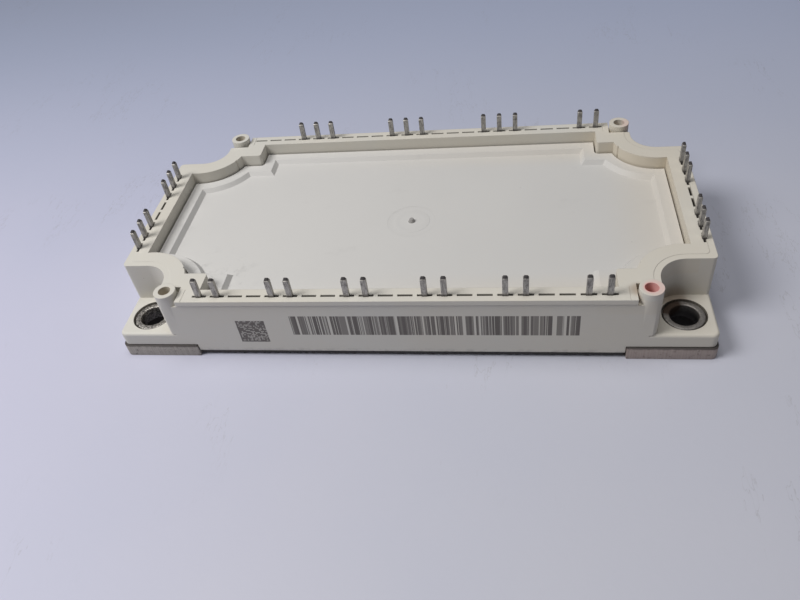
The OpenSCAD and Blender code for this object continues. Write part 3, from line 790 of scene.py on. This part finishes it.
class MODULE_OT_inside(bpy.types.Operator):
    """Finish the substrates, chips, wires and gel under the lid"""

    bl_idname = "module.inside"
    bl_label = "Inside"
    bl_options = {"REGISTER", "UNDO"}

    def execute(self, context):
        finishes = {
            "ceramic": inner_finish(
                "alumina", printed(238, 236, 230), printed(226, 224, 218), 0.5, 0.0, 2),
            "top_copper": inner_finish(
                "etched copper", printed(214, 150, 118), printed(196, 128, 98), 0.3, 1.0, 1.5),
            "bottom_copper": inner_finish(
                "rolled copper", printed(206, 142, 112), printed(188, 122, 94), 0.35, 1.0, 1.5),
            "solder_layer": inner_finish(
                "solder", printed(172, 174, 178), printed(144, 146, 150), 0.4, 1.0, 1.2),
            "igbt": inner_finish(
                "switch chip", printed(176, 176, 180), printed(120, 122, 130), 0.3, 0.7, 0.8),
            "diode": inner_finish(
                "diode chip", printed(190, 190, 194), printed(150, 152, 158), 0.3, 0.7, 0.8),
            "chip_wires": inner_finish(
                "aluminium wire", printed(224, 224, 226), printed(206, 206, 208), 0.25, 1.0, 4),
            "pin_wires": inner_finish(
                "aluminium wire to the pins", printed(224, 224, 226), printed(206, 206, 208),
                0.25, 1.0, 4),
        }
        for start, material in finishes.items():
            for name in nodes_named(start):
                dress(name, material)
        dress("thermistor", inner_finish(
            "chip thermistor", printed(52, 50, 54), printed(38, 37, 40), 0.5, 0.0, 3))
        dress("silicone_gel", inner_finish(
            "clear silicone gel", printed(236, 242, 242), printed(228, 236, 238), 0.08, 0.0, 0.4,
            **{"Transmission Weight": 1.0, "IOR": 1.41}))
        return {"FINISHED"}


# Floor, light and camera -----------------------------------------------------


def lamp(name, place, wide, watts, tint):
    """A round soft lamp that looks at the module."""
    data = bpy.data.lights.new(name, "AREA")
    data.shape = "DISK"
    data.size = wide
    data.energy = watts
    data.color = tint
    made = bpy.data.objects.new(name, data)
    made.location = place
    made.rotation_euler = (Vector() - Vector(place)).to_track_quat("-Z", "Y").to_euler()
    bpy.context.scene.collection.objects.link(made)


def floor_finish(colours):
    """A pale surface whose tone drifts over its width, with painted shade darkening it towards the back
    where the light falls off, and a few hairlines.
    """
    g = Graph("pale floor")
    skin = g.mix(g.x.rise(-110, 40) * 0.9, colours.floor, colours.floor_near)
    # Painted shade: darker towards the back, most on the left, where the light falls off
    back = g.mix(g.x.rise(-200, 200), toned(colours.floor_far, 0.84), toned(colours.floor_far, 1.1))
    skin = g.mix(g.y.rise(-40, 160), skin, back)
    skin = g.mix(g.noise(0.012, 4) * 0.5, skin, toned(colours.floor_far, 0.93))
    hairs = g.noise(0.05, 6, 0.7, stretch=(1, 0.2, 1)).between(0.498, 0.502, 0.0015)
    skin = g.mix(hairs * g.noise(0.02, 2).rise(0.5, 0.6) * 0.25, skin, colours.grime_and_shade)
    return g.finish(skin, 0.5 + 0.1 * g.noise(0.3, 4), 0.0, g.noise(0.5, 4), 0.02)


class MODULE_OT_stage(bpy.types.Operator):
    """Lay the floor and set the light and the camera"""

    bl_idname = "module.stage"
    bl_label = "Floor, light and camera"
    bl_options = {"REGISTER", "UNDO"}

    def execute(self, context):
        scene = context.scene
        bpy.ops.object.select_all(action="DESELECT")
        bpy.ops.mesh.primitive_plane_add(size=3, location=(0, 0, SOLID_BOX[0].z))
        ground = context.active_object
        ground.name = "floor"
        bpy.ops.object.transform_apply(location=True, rotation=True, scale=True)
        ground.data.materials.append(floor_finish(scene.module_colours))

        world = bpy.data.worlds.new("studio")
        scene.world = world
        world.use_nodes = True
        sky = world.node_tree.nodes["Background"]
        sky.inputs["Color"].default_value = SKY
        sky.inputs["Strength"].default_value = SKY_STRENGTH
        for values in LAMPS:
            lamp(*values)

        data = bpy.data.cameras.new("camera")
        data.sensor_width = 36
        data.lens = LENS
        data.clip_start = 0.01
        data.clip_end = 10
        view = bpy.data.objects.new("camera", data)
        scene.collection.objects.link(view)
        ahead = Vector(AHEAD).normalized()
        right = ahead.cross(Vector(UPWARD)).normalized()
        turned = Matrix((right, right.cross(ahead), -ahead)).transposed().to_4x4()
        view.matrix_world = Matrix.Translation(Vector(EYE) * MM) @ turned
        scene.camera = view
        scene.view_settings.view_transform = "Standard"
        return {"FINISHED"}


class MODULE_PT_panel(bpy.types.Panel):
    """Lists the steps that dress the module"""

    bl_label = "Power module"
    bl_idname = "MODULE_PT_panel"
    bl_space_type = "VIEW_3D"
    bl_region_type = "UI"
    bl_category = "Module"

    def draw(self, context):
        for step in STEPS:
            self.layout.operator(step.bl_idname)
        for group in settings(context):
            box = self.layout.box()
            for name in group.__annotations__:
                box.prop(group, name)


STEPS = (
    MODULE_OT_housing,
    MODULE_OT_lid,
    MODULE_OT_base,
    MODULE_OT_bushings,
    MODULE_OT_pins,
    MODULE_OT_inside,
    MODULE_OT_stage,
)
CLASSES = (ModuleSizes, ModuleColours, *STEPS, MODULE_PT_panel)


def register():
    for kind in CLASSES:
        bpy.utils.register_class(kind)
    bpy.types.Scene.module_sizes = PointerProperty(type=ModuleSizes)
    bpy.types.Scene.module_colours = PointerProperty(type=ModuleColours)


def unregister():
    del bpy.types.Scene.module_colours
    del bpy.types.Scene.module_sizes
    for kind in reversed(CLASSES):
        bpy.utils.unregister_class(kind)


def main():
    register()
    for step in STEPS:
        family, name = step.bl_idname.split(".")
        getattr(getattr(bpy.ops, family), name)()
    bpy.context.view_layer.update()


if __name__ == "__main__":
    main()
